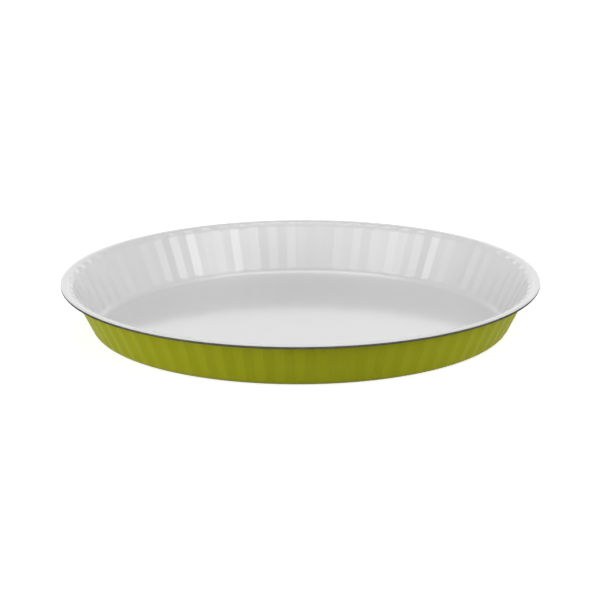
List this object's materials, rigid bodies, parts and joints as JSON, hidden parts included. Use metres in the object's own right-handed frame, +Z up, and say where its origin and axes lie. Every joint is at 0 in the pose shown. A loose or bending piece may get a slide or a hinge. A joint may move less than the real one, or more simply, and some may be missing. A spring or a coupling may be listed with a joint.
{
  "type": "pie dish",
  "caption": "Shallow round pie dish with a fluted, flared wall, a flat floor and a narrow turned-over rim, white inside and green outside.",
  "frame": {"origin": "on the table at the centre of the underside of the base", "axes": "+Z up, out of the mouth; -Y toward the viewer of the picture, +X to the viewer's right"},
  "size_m": [0.2896, 0.2896, 0.03],
  "materials": {
    "bare_steel": "dark rolled steel, left bare on the outer and lower side of the curled edge",
    "white_coat": "smooth semi-gloss",
    "green_coat": "satin lacquer"
  },
  "bodies": {
    "root": {"steel_shell": "bare_steel", "inner_coating": "white_coat", "outer_coating": "green_coat"}
  },
  "joints": []
}
